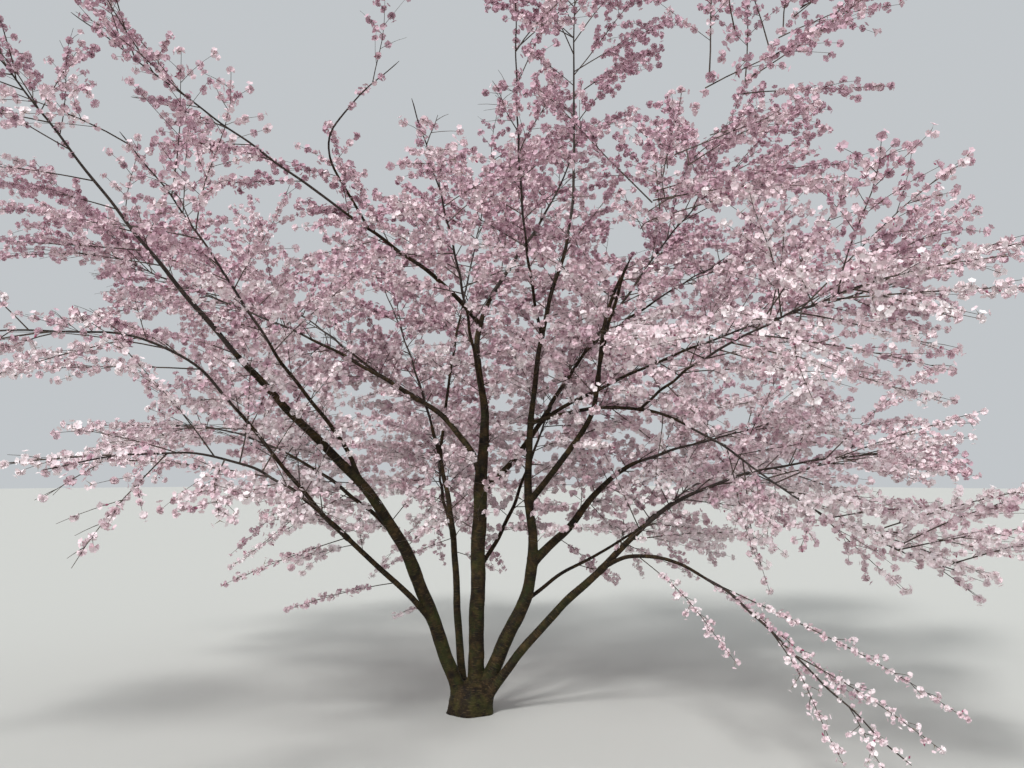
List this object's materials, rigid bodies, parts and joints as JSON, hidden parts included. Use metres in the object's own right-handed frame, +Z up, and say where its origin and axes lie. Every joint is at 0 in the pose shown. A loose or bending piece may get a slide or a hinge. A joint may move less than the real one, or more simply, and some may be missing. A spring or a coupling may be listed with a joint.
{
  "type": "flowering cherry tree",
  "caption": "Multi-stemmed flowering cherry tree in full pink blossom: slender stems fan from a short trunk into a broad, open, vase-shaped crown. Rooted in the ground.",
  "frame": {"origin": "centre of the flat cut under the trunk, at ground level", "axes": "+Z up, +X to the right of the tree as pictured, +Y away from the camera"},
  "size_m": [7.4913, 6.2085, 5.5602],
  "materials": {
    "trunk_bark": "rough dark bark with a mossy tint",
    "bough_bark": "dark, faintly satin bark",
    "blossom_mid": "matt petals, middle pink",
    "blossom_dusky": "matt petals, dusky pink",
    "blossom_pale": "matt petals, pale pink",
    "blossom_deep": "matt petals, deeper pink"
  },
  "bodies": {
    "root": {"trunk": "trunk_bark", "stem_left": "bough_bark", "stem_centre": "bough_bark", "stem_right": "bough_bark", "stem_spreading": "bough_bark", "stem_back": "bough_bark", "bough_low_left": "bough_bark", "bough_mid_left": "bough_bark", "bough_back_left_low": "bough_bark", "bough_front_left": "bough_bark", "bough_far_left": "bough_bark", "bough_high_left": "bough_bark", "bough_top_left": "bough_bark", "bough_high_right": "bough_bark", "bough_back_right": "bough_bark", "bough_back_left": "bough_bark", "bough_front": "bough_bark", "bough_outer_right": "bough_bark", "bough_far_right": "bough_bark", "bough_low_right": "bough_bark", "bough_upper_right": "bough_bark", "bough_arching": "bough_bark", "bough_top_front": "bough_bark", "bough_back_right_low": "bough_bark", "bough_front_right": "bough_bark", "bough_front_right_low": "bough_bark", "bough_trailing": "bough_bark", "bough_back_low": "bough_bark", "bough_back_high": "bough_bark", "blossom_left": "blossom_mid", "blossom_centre": "blossom_dusky", "blossom_right": "blossom_pale", "blossom_spreading": "blossom_deep", "blossom_back": "blossom_mid", "blossom_low_left": "blossom_dusky", "blossom_mid_left": "blossom_pale", "blossom_back_left_low": "blossom_deep", "blossom_front_left": "blossom_mid", "blossom_far_left": "blossom_dusky", "blossom_high_left": "blossom_pale", "blossom_top_left": "blossom_deep", "blossom_high_right": "blossom_mid", "blossom_back_right": "blossom_dusky", "blossom_back_left": "blossom_pale", "blossom_front": "blossom_deep", "blossom_outer_right": "blossom_mid", "blossom_far_right": "blossom_dusky", "blossom_low_right": "blossom_pale", "blossom_upper_right": "blossom_deep", "blossom_arching": "blossom_mid", "blossom_top_front": "blossom_dusky", "blossom_back_right_low": "blossom_pale", "blossom_front_right": "blossom_deep", "blossom_front_right_low": "blossom_mid", "blossom_trailing": "blossom_dusky", "blossom_back_low": "blossom_pale", "blossom_back_high": "blossom_deep"}
  },
  "joints": []
}
